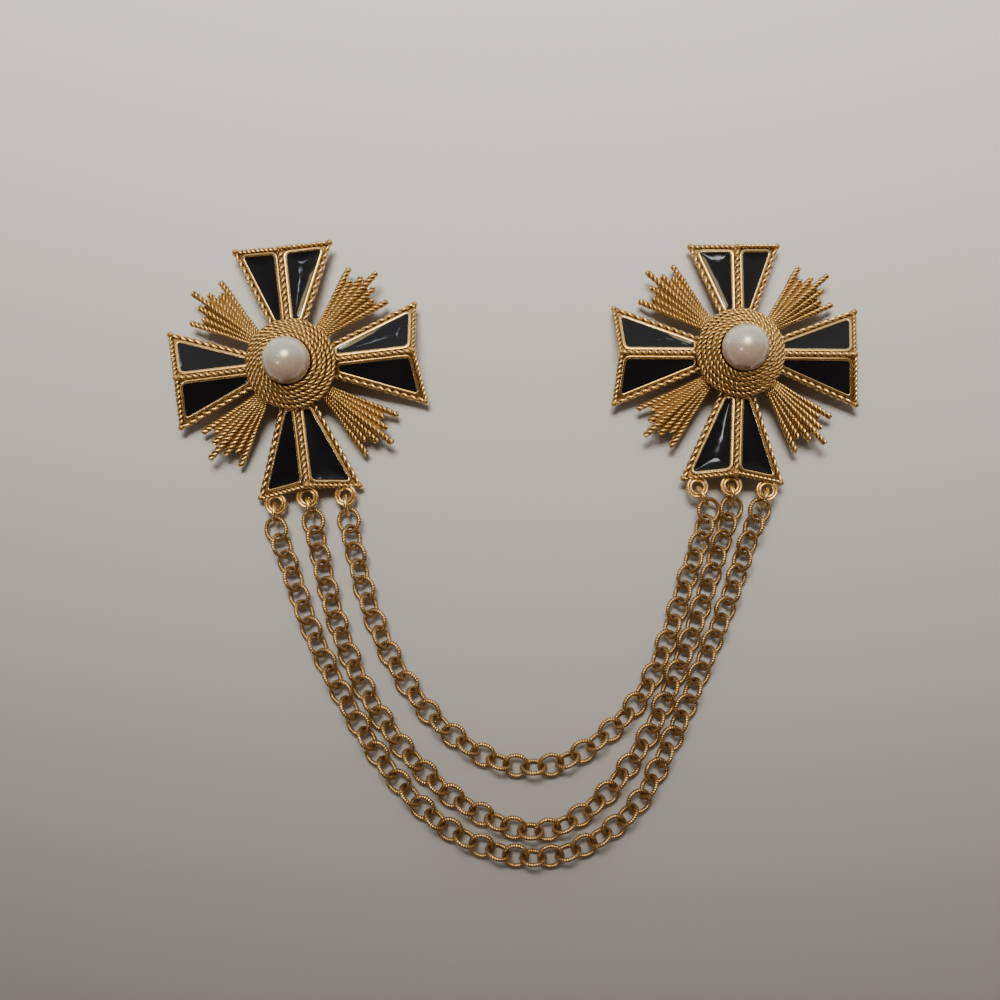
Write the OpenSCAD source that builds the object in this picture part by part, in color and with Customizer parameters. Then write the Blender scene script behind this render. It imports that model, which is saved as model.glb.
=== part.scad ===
// Collar brooch: two enamelled crosses with pearl bosses, joined by three strands
// of ring chain. Millimetres. It lies face up on z = 0 with the crosses at +Y.

/* [Cross arms] */
// from the middle of a cross to the outer corners of its arms
arm_reach = 24.7; // [22:0.1:27]
// from the middle of a cross to the shallow notch in an arm's end
notch_reach = 23.5; // [21:0.1:26]
// half width of an arm at its outer end
arm_half = 10.3; // [8:0.05:11]
// half width of an arm beside the boss
arm_neck = 3.85; // [3.4:0.05:4.6]
// fall of each half of an arm from its ridge, degrees
slope = 21; // [14:1:26]
// height of the ridge wires above the table
ridge_z = 6.6; // [6.2:0.1:7]
// thickness of the border wires
wire_d = 1.15; // [0.8:0.05:1.2]
// width of the smooth lip round each cell
lip_w = 0.6; // [0.4:0.05:0.8]
// depth of the cells below the wires' middle
cell_depth = 0.45; // [0.3:0.05:0.6]

/* [Enamel] */
// gap left round each enamel fill
enamel_gap = 0.04; // [0.03:0.01:0.1]
// radius of the enamel's domed face
enamel_dome = 15; // [10:1:40]

/* [Ray fans] */
// rays on each side of a fan's middle ray
side_rays = 3; // [2:1:3]
// angle between two rays
ray_step = 5.7; // [4.5:0.1:6]
// length of the rays, counted from the middle one
ray_len = [20.1, 17.6, 16, 18.4]; // [13:0.1:21]
// thickness of a ray for each millimetre of its length
ray_taper = 0.073; // [0.06:0.001:0.08]
// fall of each half of a fan from its middle ray, degrees
fan_fold = 21.5; // [10:0.5:24]
// fall of a whole fan from the boss to its tips, degrees
fan_fall = 7.5; // [3:0.5:9]
// turn of each fan away from the middle between two arms, degrees
fan_turns = [-2.9, 2.3, -3.5, 0.1]; // [-5:0.1:5]

/* [Boss and pearl] */
// number of wire rings round the pearl
boss_rings = 5; // [4:1:5]
// middle radius of the outermost ring
ring_reach = 8.27; // [8:0.01:8.5]
// middle radius of the ring that holds the pearl
ring_inner = 5; // [4.9:0.01:5.2]
// thickness of the ring wires
ring_d = 1.16; // [1:0.02:1.2]
// height of the outermost ring
ring_z = 7.9; // [7.8:0.05:8.2]
// rise from one ring to the next
ring_rise = 0.795; // [0.7:0.005:0.85]
// diameter of the pearl
pearl_d = 9.1; // [8.6:0.1:9.2]

/* [Places] */
// middle of the left cross and its turn
left_at = [-43.7, 36.8, 6.9]; // [-50:0.1:50]
// middle of the right cross and its turn
right_at = [44.1, 39, -0.6]; // [-50:0.1:50]
// lean of the left cross towards its upper arm, degrees
left_lean = -1.8; // [-3:0.1:4]
// lean of the right cross towards its upper arm, degrees
right_lean = 1.2; // [-3:0.1:4]

/* [Unevenness] */
// length added to the right, upper, left and lower arm of the left cross
left_added = [0.8, -0.1, -0.4, 0.9]; // [-2:0.1:1.5]
// turn of the same arms, degrees
left_turns = [-0.1, -0.5, 0.3, 0.2]; // [-3:0.1:3]
// length added to the right, upper, left and lower arm of the right cross
right_added = [0, -1.5, 0.4, 0.8]; // [-2:0.1:1.5]
// turn of the same arms, degrees
right_turns = [0.2, 1.2, 0.4, -1.9]; // [-3:0.1:3]

/* [Chain] */
// middle radius of a chain ring
link_r = 2.27; // [2.2:0.01:2.3]
// thickness of the chain wire
link_d = 0.86; // [0.6:0.01:0.86]
// middle radius of a jump ring
jump_r = 2; // [1.9:0.01:2.1]
// thickness of the jump rings
jump_d = 0.76; // [0.5:0.01:0.8]
// rings in the inner strand
inner_links = 39; // [39:2:41]
// rings in the middle strand
middle_links = 47; // [47:2:49]
// rings in the outer strand
outer_links = 51; // [51:2:53]

/* [Hidden] */

$fn = 32;
gold = [0.83, 0.62, 0.30];
pearl_white = [0.92, 0.90, 0.86];
black = [0.03, 0.03, 0.04];

neck_at = 8.4;
arm_in = 7.3;
wire_r = wire_d / 2;
plate_low = 1;
lip_high = 0.2;
flare = (arm_half - arm_neck) / (arm_reach - neck_at);
flare_sec = sqrt(1 + flare * flare);
notch = (arm_reach - notch_reach) / arm_half;
notch_sec = sqrt(1 + notch * notch);
border = wire_d + lip_w;
rib = wire_r + lip_w;
cell_in = 9;
eye_spots = [[-6.9, -26.5, 3.4], [-0.4, -26, 4.4], [6.9, -26.5, 3.4]];
lean_about = 2;

// An arm seen from above: its side lies `b` inside the edge, its end `e` inside, and
// the arm is `m` longer than the others.
function half_at(r, b) = arm_neck + flare * (r - neck_at) - b * flare_sec;
function end_at(t, e, m) = notch_reach + m - e * notch_sec + notch * t;
function corner(b, e, m) =
    let (t = half_at(end_at(0, e, m), b) / (1 - flare * notch)) [end_at(t, e, m), t];

// The same point on the sloping half of the arm on side s.
function wing(p, s) = [p[0], s * p[1] / cos(slope)];
function roof(p, s) = [p[0], s * p[1], ridge_z - p[1] * tan(slope)];

// A polygon with every corner eased over the distance given for it.
function eased(P, ease) =
    let (n = len(P))
    [for (i = [0:n - 1])
        let (b = P[i], a = P[(i + n - 1) % n], c = P[(i + 1) % n],
             from = b + (a - b) / norm(a - b) * ease[i],
             to = b + (c - b) / norm(c - b) * ease[i])
        for (k = [0:3]) let (t = k / 3)
            (1 - t) * (1 - t) * from + 2 * t * (1 - t) * b + t * t * to];

function cell(s, g, m) =
    let (b = border + g, o = rib + g)
    eased([for (p = [[cell_in + g, o], [end_at(o, b, m), o], corner(b, b, m),
                     [cell_in + g, half_at(cell_in + g, b)]]) wing(p, s)],
          [0.3, 0.8, 0.7, 0.4]);

function outline(s, m) =
    [for (p = [[arm_in, -0.1], [end_at(0, wire_r, m), -0.1], corner(wire_r, wire_r, m),
               [arm_in, half_at(arm_in, wire_r)]]) wing(p, s)];

// Places on the two leaning crosses.
function turned(p, a) = [p[0] * cos(a) - p[1] * sin(a), p[0] * sin(a) + p[1] * cos(a), p[2]];
function leaned(p, a) =
    let (y = p[1] - lean_about)
    [p[0], lean_about + y * cos(a) + p[2] * sin(a), p[2] * cos(a) - y * sin(a) + 0.1];
function on_cross(p, at, lean) = [at[0], at[1], 0] + turned(leaned(p, lean), at[2]);

module set_at(at, lean)
    translate([at[0], at[1], 0]) rotate([0, 0, at[2]])
        translate([0, lean_about, 0.1]) rotate([-lean, 0, 0])
            translate([0, -lean_about, 0]) children();
module at_left() set_at(left_at, left_lean) children();
module at_right() set_at(right_at, right_lean) children();

module wire(a, b, r)
    let (d = b - a, l = norm(d))
        translate(a) rotate([0, acos(d[2] / l), atan2(d[1], d[0])]) cylinder(h = l, r = r);

module ring(r, d) rotate_extrude() translate([r, 0]) circle(d = d);

module on_slope(s) translate([0, 0, ridge_z]) rotate([-s * slope, 0, 0]) children();

module half_arm(s, m) {
    on_slope(s) difference() {
        translate([0, 0, -plate_low])
            linear_extrude(height = plate_low + lip_high) polygon(outline(s, m));
        translate([0, 0, -cell_depth]) linear_extrude(height = 2) polygon(cell(s, 0, m));
    }
    tip = roof(corner(wire_r, wire_r, m), s);
    foot = roof([arm_in + 0.3, half_at(arm_in + 0.3, wire_r)], s);
    top = [end_at(0, wire_r, m), 0, ridge_z];
    wire(foot, tip + (tip - foot) / norm(tip - foot) * 0.3, wire_r);
    wire(top, tip + (tip - top) / norm(tip - top) * 0.3, wire_r);
    translate(tip) sphere(r = wire_r + 0.14);
}

module arm(m) {
    half_arm(1, m);
    half_arm(-1, m);
    wire([arm_in + 0.3, 0, ridge_z], [end_at(0, wire_r, m), 0, ridge_z], wire_r + 0.04);
    translate([end_at(0, wire_r, m), 0, ridge_z]) sphere(r = wire_r + 0.12);
}

// An eye is two rings one inside the other, half under the end of the lower arm.
module eye(p) translate(p) {
    ring(1.92, 0.64);
    ring(1.36, 0.64);
}

module cross(added, turns) color(gold) union() {
    for (k = [0:3]) rotate([0, 0, 90 * k + turns[k]]) arm(added[k]);
    translate([0, 0, 5]) cylinder(h = 1, r = 8.2);
    rotate([0, 0, turns[3]]) {
        for (p = eye_spots) eye(p);
        translate(eye_spots[1] + [-0.7, 1.7, -0.25]) cube([1.4, 1, 1.6]);
    }
}

module enamel(k, added, turns) {
    a = floor((k - 1) / 2);
    s = k % 2 == 1 ? 1 : -1;
    mid = s * 3.4;
    color(black) rotate([0, 0, 90 * a + turns[a]]) on_slope(s) intersection() {
        translate([0, 0, enamel_gap - cell_depth])
            linear_extrude(height = 1) polygon(cell(s, enamel_gap, added[a]));
        translate([5, mid, 0.22 - enamel_dome]) rotate([0, 90, 0])
            cylinder(h = 22, r = enamel_dome, $fn = 240);
    }
}

// One half of a fan lies in its own plane, with the fan's middle along X. A thin
// web behind the rays holds them together.
web_t = 0.3;
web_lap = 0.12;
web_in = 3.8;
web_out = 14.4;
function spoke(r, k, s) = r * [cos(ray_step * k), s * sin(ray_step * k)];
module half_fan(s) rotate([-s * fan_fold, 0, 0]) {
    translate([0, 0, 0.05 - web_t]) linear_extrude(height = web_t) polygon([
        [web_in, -web_lap * s], [ray_len[0] - 3.2, -web_lap * s],
        for (k = [1:side_rays]) spoke(min(ray_len[k], web_out) - 1.2, k, s),
        spoke(web_in, side_rays, s),
    ]);
    for (k = [1:side_rays]) rotate([0, 0, s * ray_step * k]) ray(ray_len[k]);
}

module ray(l) rotate([0, 90, 0]) rotate_extrude() polygon([
    [0, 4], [ray_taper * 2, 4], [ray_taper * (l - 0.3) / 2, l - 0.3],
    [ray_taper * l / 2 - 0.25, l], [0, l],
]);

module rays() color(gold) union() {
    translate([0, 0, 3.9]) cylinder(h = 1, r = 7);
    for (k = [0:3]) rotate([0, 0, 45 + 90 * k + fan_turns[k]]) {
        translate([6, -1, 3.95]) cube([3.6, 2, 0.9]);
        translate([9.3, 0, 4.3]) cylinder(h = 1.65, r = 0.9);
        translate([4.8, 0, 6.9]) rotate([0, fan_fall, 0]) {
            half_fan(1);
            half_fan(-1);
            ray(ray_len[0]);
        }
    }
}

ring_step = (ring_reach - ring_inner) / (boss_rings - 1);
last_z = ring_z + ring_rise * (boss_rings - 1);
pearl_r = pearl_d / 2;
pearl_z = last_z + sqrt(pow(pearl_r + 0.04 + ring_d / 2, 2) - ring_inner * ring_inner);

module boss() color(gold) union() {
    rotate_extrude($fn = 96) polygon([
        [0, 6.1], [6.9, 6.1], [6.9, ring_z - 0.55], [ring_reach, ring_z - 0.4], [ring_reach, ring_z],
        [ring_inner, last_z], [4.5, last_z - 0.5], [3.9, last_z - 1.55], [2.8, last_z - 2.6],
        [1.4, last_z - 3.3], [0, last_z - 3.5],
    ]);
    for (k = [0:boss_rings - 1])
        translate([0, 0, ring_z + ring_rise * k]) ring(ring_reach - ring_step * k, ring_d, $fn = 64);
}

module pearl() color(pearl_white) translate([0, 0, pearl_z]) sphere(r = pearl_r, $fn = 64);

module pin() color(gold) union() {
    translate([-16, 0.2, 3]) cube([32, 3.6, 0.8]);
    translate([-14.2, 0.5, 1.2]) rotate([-90, 0, 0]) cylinder(h = 3, r = 1.2);
    translate([-14.9, 0.5, 1.2]) cube([1.4, 3, 2.2]);
    translate([-14.2, 2, 1.2]) rotate([0, 90, 0]) cylinder(h = 29.6, r = 0.4);
    translate([13.6, 2, 1.2]) rotate([0, 90, 0]) rotate_extrude(angle = 270)
        translate([0.6, 0]) square([0.6, 1.8]);
    translate([13.6, 2.7, 1.2]) cube([1.8, 0.5, 2.2]);
}

// Strands: route points are [x, y] on the table; the rings stand on edge by turns.
inner_route = [
    [-32.9, 6.3], [-31.7, 0.3], [-28.7, -10.7], [-23.3, -22.5], [-15.1, -33.3], [-4.1, -40.7],
    [7.1, -41.7], [16.5, -36.9], [24.9, -28.3], [30, -17.6], [33.6, -6.7], [36.8, 2.7], [38.4, 8.3],
];
middle_route = [
    [-39.9, 6.1], [-38.3, -1.7], [-34.9, -14.3], [-29.1, -27.7], [-20.7, -39.7], [-9.9, -49.3],
    [3.7, -54.5], [15.3, -49.7], [25.3, -37.5], [32.2, -23.1], [37, -10.3], [41, 2.3], [42.9, 8.7],
];
outer_route = [
    [-47.2, 4.5], [-44.9, -1.7], [-40.3, -14.7], [-33.5, -28.7], [-24.5, -42.7], [-13.3, -53.7], [0.7, -59.3],
    [12.7, -57.7], [23.5, -49.9], [30.9, -36.7], [37.1, -22.3], [42.3, -9.7], [46.3, 2.3], [48.6, 8.3],
];

function bend(a, b, c, d, t) =
    0.5 * (2 * b + (c - a) * t + (2 * a - 5 * b + 4 * c - d) * t * t
           + (3 * b - a - 3 * c + d) * t * t * t);
function curve(P) =
    let (n = len(P), E = concat([2 * P[0] - P[1]], P, [2 * P[n - 1] - P[n - 2]]))
    concat([for (i = [0:n - 2]) for (k = [0:11])
               bend(E[i], E[i + 1], E[i + 2], E[i + 3], k / 12)], [P[n - 1]]);
function lengths(C) =
    [for (i = 0, s = 0; i < len(C);
          s = s + (i + 1 < len(C) ? norm(C[i + 1] - C[i]) : 0), i = i + 1) s];
function place(C, S, s) =
    let (k = max([for (i = [0:len(C) - 2]) if (S[i] <= s + 0.000001) i]))
    C[k] + (C[k + 1] - C[k]) * (s - S[k]) / (S[k + 1] - S[k]);

// Ring i of n: how far it leans over, and how high its middle is.
function swing(i, n) = let (f = i / (n - 1)) 60 * f * (1 - f);
function roll(i, n) =
    i % 2 == 1 ? -54 - swing(i, n) : i == 0 || i == n - 1 ? 22 : 36 - swing(i, n);
function height(i, n, lift) =
    let (high = link_r * sin(54 + swing(i, n)) + link_d / 2,
         own = link_r * sin(abs(roll(i, n))) + link_d / 2)
    (i % 2 == 1 ? high : max(own, high - 0.4))
    + lift[0] * pow(max(0, 1 - i / 4), 1.5) + lift[1] * pow(max(0, 1 - (n - 1 - i) / 5), 1.5);
function spots(P, n, lift) =
    let (C = curve(P), S = lengths(C), all = S[len(S) - 1])
    [for (i = [0:n - 1]) let (p = place(C, S, all * i / (n - 1))) [p[0], p[1], height(i, n, lift)]];

lift_inner = [0.5, 1.2];
lift_middle = [0.6, 1.4];
lift_outer = [0.5, 1.2];

module strand(P, n, lift) {
    T = spots(P, n, lift);
    color(gold) for (i = [0:n - 1]) {
        d = T[min(i + 1, n - 1)] - T[max(i - 1, 0)];
        translate(T[i]) rotate([0, -asin(d[2] / norm(d)), atan2(d[1], d[0])])
            rotate([roll(i, n), 0, 0]) ring(link_r, link_d, $fn = 28);
    }
}

// A jump ring stands upright between an eye and the end of a strand.
module jump_ring(eye_at, end_at, out, drop) {
    d = end_at - eye_at;
    flat = [d[0], d[1], 0] / norm([d[0], d[1]]);
    color(gold) translate(eye_at + out * flat - [0, 0, drop])
        rotate([0, 0, atan2(d[1], d[0])]) rotate([90, 0, 0]) ring(jump_r, jump_d, $fn = 28);
}

module left_jump_ring(k)
    jump_ring(on_cross(turned(eye_spots[k - 1], left_turns[3]), left_at, left_lean),
              [each [outer_route[0], middle_route[0], inner_route[0]][k - 1], 2],
              [1.9, 1.85, 1.95][k - 1], [0, 0.9, 0.1][k - 1]);
module right_jump_ring(k)
    jump_ring(on_cross(turned(eye_spots[k - 1], right_turns[3]), right_at, right_lean),
              [each [inner_route[12], middle_route[12], outer_route[13]][k - 1], 3],
              [2.1, 1.6, 1.5][k - 1], [0.3, 0.9, 0.8][k - 1]);

at_left() cross(left_added, left_turns);  // left_cross
at_left() rays();  // left_rays
at_left() boss();  // left_boss
at_left() pearl();  // left_pearl
at_left() pin();  // left_pin
at_left() enamel(1, left_added, left_turns);  // left_enamel_1
at_left() enamel(2, left_added, left_turns);  // left_enamel_2
at_left() enamel(3, left_added, left_turns);  // left_enamel_3
at_left() enamel(4, left_added, left_turns);  // left_enamel_4
at_left() enamel(5, left_added, left_turns);  // left_enamel_5
at_left() enamel(6, left_added, left_turns);  // left_enamel_6
at_left() enamel(7, left_added, left_turns);  // left_enamel_7
at_left() enamel(8, left_added, left_turns);  // left_enamel_8
left_jump_ring(1);  // left_jump_ring_1
left_jump_ring(2);  // left_jump_ring_2
left_jump_ring(3);  // left_jump_ring_3
at_right() cross(right_added, right_turns);  // right_cross
at_right() rays();  // right_rays
at_right() boss();  // right_boss
at_right() pearl();  // right_pearl
at_right() pin();  // right_pin
at_right() enamel(1, right_added, right_turns);  // right_enamel_1
at_right() enamel(2, right_added, right_turns);  // right_enamel_2
at_right() enamel(3, right_added, right_turns);  // right_enamel_3
at_right() enamel(4, right_added, right_turns);  // right_enamel_4
at_right() enamel(5, right_added, right_turns);  // right_enamel_5
at_right() enamel(6, right_added, right_turns);  // right_enamel_6
at_right() enamel(7, right_added, right_turns);  // right_enamel_7
at_right() enamel(8, right_added, right_turns);  // right_enamel_8
right_jump_ring(1);  // right_jump_ring_1
right_jump_ring(2);  // right_jump_ring_2
right_jump_ring(3);  // right_jump_ring_3
strand(inner_route, inner_links, lift_inner);  // chain_inner
strand(middle_route, middle_links, lift_middle);  // chain_middle
strand(outer_route, outer_links, lift_outer);  // chain_outer
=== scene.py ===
# A chained collar brooch: two enamelled crosses with pearls, joined by three strands of rings.
# Shapes are worked out in millimetres in a cross's own frame and then set in place in metres.
import math

import bmesh
import bpy
from mathutils import Matrix, Vector
from mathutils.noise import noise as noiseAt


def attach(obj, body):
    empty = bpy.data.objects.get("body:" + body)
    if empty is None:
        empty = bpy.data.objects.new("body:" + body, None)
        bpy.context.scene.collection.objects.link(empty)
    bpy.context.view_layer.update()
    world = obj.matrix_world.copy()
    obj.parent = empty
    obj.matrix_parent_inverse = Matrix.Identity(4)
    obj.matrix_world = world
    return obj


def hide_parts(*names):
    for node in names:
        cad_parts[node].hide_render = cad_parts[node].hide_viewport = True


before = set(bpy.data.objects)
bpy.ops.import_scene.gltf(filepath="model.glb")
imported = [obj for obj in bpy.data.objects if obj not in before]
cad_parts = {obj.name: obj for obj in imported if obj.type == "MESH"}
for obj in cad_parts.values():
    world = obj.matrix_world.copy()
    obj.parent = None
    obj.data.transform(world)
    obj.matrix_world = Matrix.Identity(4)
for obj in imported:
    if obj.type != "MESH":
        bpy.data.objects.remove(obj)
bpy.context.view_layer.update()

mm = 0.001
fullTurn = 2 * math.pi
mergeWithin = 0.002  # millimetres
scene = bpy.context.scene
sides = ("left", "right")

# Where each cross lies: its middle, its turn about +Z and its lean towards the upper arm,
# then what is added to the length and turn of its right, upper, left and lower arm.
crossPlaces = {
    "left": {"at": (-43.7, 36.8), "turn": 6.9, "lean": -1.8,
             "added": (0.8, -0.1, -0.4, 0.9), "armTurns": (-0.1, -0.5, 0.3, 0.2)},
    "right": {"at": (44.1, 39.0), "turn": -0.6, "lean": 1.2,
              "added": (0.0, -1.5, 0.4, 0.8), "armTurns": (0.2, 1.2, 0.4, -1.9)},
}
leanAbout = 2.0
crossLift = 0.1
lowerArm = 3


def crossMatrix(side):
    place = crossPlaces[side]
    lean = (Matrix.Translation((0, leanAbout, crossLift))
            @ Matrix.Rotation(math.radians(-place["lean"]), 4, "X")
            @ Matrix.Translation((0, -leanAbout, 0)))
    return (Matrix.Scale(mm, 4) @ Matrix.Translation((*place["at"], 0))
            @ Matrix.Rotation(math.radians(place["turn"]), 4, "Z") @ lean)


def armTurn(side, arm):
    return Matrix.Rotation(math.radians(90 * arm + crossPlaces[side]["armTurns"][arm]), 4, "Z")


# Camera

cameraLook = {
    "standsAt": (-1.2, -0.55, 220.0),  # millimetres
    "tiltX": -3.105,                   # degrees
    "tiltY": 1.363,
    "lens": 39.49,
    "sensor": 36,
    "shift": (-0.0354, -0.0044),
    "clip": (0.01, 10),                # metres
}


def makeCamera():
    data = bpy.data.cameras.new("camera")
    data.lens = cameraLook["lens"]
    data.sensor_width = cameraLook["sensor"]
    data.shift_x, data.shift_y = cameraLook["shift"]
    data.clip_start, data.clip_end = cameraLook["clip"]
    camera = bpy.data.objects.new("camera", data)
    scene.collection.objects.link(camera)
    turn = (Matrix.Rotation(math.radians(cameraLook["tiltX"]), 3, "X")
            @ Matrix.Rotation(math.radians(cameraLook["tiltY"]), 3, "Y")).transposed()
    camera.matrix_world = Matrix.Translation(Vector(cameraLook["standsAt"]) * mm) @ turn.to_4x4()
    scene.camera = camera


makeCamera()
print("camera placed")


# Materials

def newMaterial(name):
    material = bpy.data.materials.new(name)
    material.use_nodes = True
    tree = material.node_tree
    shader = tree.nodes["Principled BSDF"]
    return material, tree, shader


def feed(tree, node, feeds):
    # each named socket gets another node's socket or a plain value
    for key, source in feeds.items():
        if isinstance(source, bpy.types.NodeSocket):
            tree.links.new(source, node.inputs[key])
        else:
            node.inputs[key].default_value = source


def put(tree, kind, feeds=None, **settings):
    # one node, its settings and what feeds its sockets
    node = tree.nodes.new(kind)
    for name, value in settings.items():
        setattr(node, name, value)
    feed(tree, node, feeds or {})
    return node


def calc(tree, operation, *values):
    return put(tree, "ShaderNodeMath", dict(enumerate(values)), operation=operation).outputs[0]


noiseRange = (0.3, 0.7)  # most of a noise lies between these


def noise(tree, scale, detail=3.0, rough=0.55):
    where = put(tree, "ShaderNodeTexCoord").outputs["Object"]
    return put(tree, "ShaderNodeTexNoise", {"Vector": where, "Scale": scale, "Detail": detail,
                                            "Roughness": rough}).outputs["Fac"]


def remap(tree, value, low, high, toLow, toHigh):
    return put(tree, "ShaderNodeMapRange", {"Value": value, "From Min": low, "From Max": high,
                                            "To Min": toLow, "To Max": toHigh}).outputs[0]


def mixColours(tree, share, first, second):
    # these sockets share their names, so they are taken by number
    return put(tree, "ShaderNodeMix", {0: share, 6: first, 7: second}, data_type="RGBA").outputs[2]


def bumped(tree, height, strength, relief):
    return put(tree, "ShaderNodeBump", {"Height": height, "Strength": strength,
                                        "Distance": relief}).outputs[0]


goldLook = {
    "bright": (1.0, 0.69, 0.30, 1),
    "warm": (0.90, 0.54, 0.20, 1),
    # the dark colour is painted shade for grooves and hollows, and also their patina
    "recess": (0.13, 0.05, 0.012, 1),
    "crestFrom": 0.1,            # below this share of a groove's height the painted shade is full
    "crestTo": 0.85,
    "brightOver": (0.55, 1.0),   # over these heights warm turns to bright, partly a painted highlight
    "depth": 1.0,                # how far the painted shade darkens, 0 to 1
    "recessCurve": 0.7,
    "shelter": (0.25, 0.95),     # shares of open sky that count as none and as all, for painted shade
    "shelterReach": 0.0011,      # metres
    "polish": 0.24,
    "dull": 0.50,
    "patches": 160.0,
    "patchEdges": (0.35, 0.65),
    "grain": 900.0,
    "grainRough": (-0.04, 0.06),
    "bump": 0.25,
    "relief": 0.00012,           # metres
}


def makeGold(name, **changes):
    # the attribute "crest" is 0 in a groove and 1 on a crest
    # high crests get the bright tone, partly polish and partly a painted highlight
    # low crests and hollows with little open sky get painted shade, which also stands for patina
    gold = {**goldLook, **changes}
    material, tree, shader = newMaterial(name)
    crest = put(tree, "ShaderNodeAttribute", attribute_name="crest").outputs["Fac"]
    patches = noise(tree, gold["patches"], 4.0)
    fine = noise(tree, gold["grain"], 2.0)
    shelter = put(tree, "ShaderNodeAmbientOcclusion", {"Distance": gold["shelterReach"]},
                  samples=4).outputs["AO"]
    least = 1 - gold["depth"]
    # bare is 1 where no painted shade falls, and less in grooves and sheltered hollows
    bare = calc(tree, "MULTIPLY", remap(tree, shelter, *gold["shelter"], least, 1),
                remap(tree, crest, gold["crestFrom"], gold["crestTo"], least, 1))
    tone = mixColours(tree, remap(tree, patches, *gold["patchEdges"], 0, 1),
                      gold["warm"], gold["bright"])
    # crests turn to the bright tone, partly polish and partly a painted highlight
    tone = mixColours(tree, remap(tree, crest, *gold["brightOver"], 0, 1), tone, gold["bright"])
    colour = mixColours(tree, calc(tree, "POWER", bare, gold["recessCurve"]),
                        gold["recess"], tone)
    rough = calc(tree, "ADD", remap(tree, bare, 0, 1, gold["dull"], gold["polish"]),
                 remap(tree, fine, *noiseRange, *gold["grainRough"]))
    feed(tree, shader, {
        "Base Color": colour, "Metallic": 1.0, "Roughness": rough,
        "Normal": bumped(tree, calc(tree, "ADD", fine, patches), gold["bump"], gold["relief"])})
    return material


enamelPaint = {
    "dark": (0.0022, 0.0022, 0.0026, 1),
    "light": (0.006, 0.0058, 0.0065, 1),
    "clouds": 120.0,
    "smears": 700.0,
    "roughness": (0.04, 0.10),
    "shine": 0.34,
    "coat": 0.15,
    "coatRoughness": 0.03,
    "ripples": 300.0,
    "bump": 0.1,
    "relief": 0.00035,           # metres
}


def makeEnamel():
    material, tree, shader = newMaterial("blackEnamel")
    feed(tree, shader, {
        "Base Color": mixColours(tree, noise(tree, enamelPaint["clouds"], 2.0),
                                 enamelPaint["dark"], enamelPaint["light"]),
        "Roughness": remap(tree, noise(tree, enamelPaint["smears"]), *noiseRange,
                           *enamelPaint["roughness"]),
        "Specular IOR Level": enamelPaint["shine"],
        "Coat Weight": enamelPaint["coat"],
        "Coat Roughness": enamelPaint["coatRoughness"],
        "Normal": bumped(tree, noise(tree, enamelPaint["ripples"], 1.0),
                         enamelPaint["bump"], enamelPaint["relief"])})
    return material


pearlPaint = {
    "cream": (0.34, 0.345, 0.288, 1),
    "paleCream": (0.39, 0.395, 0.335, 1),
    "pinkReflection": (0.42, 0.30, 0.215, 1),
    "rimReflection": (0.66, 0.53, 0.38, 1),
    "rimBlend": 0.3,
    "clouds": 260.0,
    "roughness": (0.22, 0.32),
    "metallic": 0.3,
    "coat": 1.0,
    "coatRoughness": 0.035,
    "glow": 0.12,
    "glowReach": (0.0012, 0.0009, 0.0007),  # metres
}


def makePearl():
    # the attribute "crest" is 0 on the pearl's lower side and 1 on its cream side
    # the pinkish tone below is a painted reflection of the darker room, and the rim colour a
    # painted reflection round the edge
    material, tree, shader = newMaterial("pearlLustre")
    side = put(tree, "ShaderNodeAttribute", attribute_name="crest").outputs["Fac"]
    cloud = noise(tree, pearlPaint["clouds"])
    cream = mixColours(tree, remap(tree, cloud, *noiseRange, 0, 1),
                       pearlPaint["cream"], pearlPaint["paleCream"])
    facing = put(tree, "ShaderNodeLayerWeight", {"Blend": pearlPaint["rimBlend"]}).outputs["Facing"]
    feed(tree, shader, {
        "Base Color": mixColours(tree, facing, mixColours(tree, side, pearlPaint["pinkReflection"], cream),
                                 pearlPaint["rimReflection"]),
        "Roughness": remap(tree, cloud, *noiseRange, *pearlPaint["roughness"]),
        "Metallic": pearlPaint["metallic"],
        "Coat Weight": pearlPaint["coat"],
        "Coat Roughness": pearlPaint["coatRoughness"],
        "Subsurface Weight": pearlPaint["glow"],
        "Subsurface Radius": pearlPaint["glowReach"]})
    return material


castGold = makeGold("castGold")
rayGold = makeGold("rayGold", bright=(1.0, 0.69, 0.29, 1), recess=(0.18, 0.072, 0.014, 1),
                   crestFrom=0.3, shelterReach=0.0007, relief=0.0002)
chainGold = makeGold("chainGold", bright=(0.82, 0.56, 0.26, 1), warm=(0.70, 0.43, 0.17, 1),
                     polish=0.25, crestFrom=0.25)
pinGold = makeGold("pinGold", bright=(0.84, 0.61, 0.30, 1), polish=0.34, depth=0.5)
blackEnamel = makeEnamel()
pearlLustre = makePearl()
print("materials made")


# Geometry Nodes

def newTree(name, inputs):
    tree = bpy.data.node_groups.new(name, "GeometryNodeTree")
    tree.interface.new_socket("Geometry", in_out="INPUT", socket_type="NodeSocketGeometry")
    for label, kind, value in inputs:
        socket = tree.interface.new_socket(label, in_out="INPUT", socket_type="NodeSocket" + kind)
        if value is not None:
            socket.default_value = value
    tree.interface.new_socket("Geometry", in_out="OUTPUT", socket_type="NodeSocketGeometry")
    return tree, put(tree, "NodeGroupInput").outputs


def endTree(tree, geometry, material):
    real = put(tree, "GeometryNodeRealizeInstances", {"Geometry": geometry}).outputs[0]
    smooth = put(tree, "GeometryNodeSetShadeSmooth", {"Geometry": real}).outputs[0]
    dressed = put(tree, "GeometryNodeSetMaterial",
                  {"Geometry": smooth, "Material": material}).outputs[0]
    tree.links.new(dressed, put(tree, "NodeGroupOutput").inputs[0])


def attribute(tree, name, kind="FLOAT"):
    return put(tree, "GeometryNodeInputNamedAttribute", {"Name": name},
               data_type=kind).outputs["Attribute"]


def store(tree, geometry, name, value):
    return put(tree, "GeometryNodeStoreNamedAttribute",
               {"Geometry": geometry, "Name": name, "Value": value},
               data_type="FLOAT", domain="POINT").outputs[0]


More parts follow.
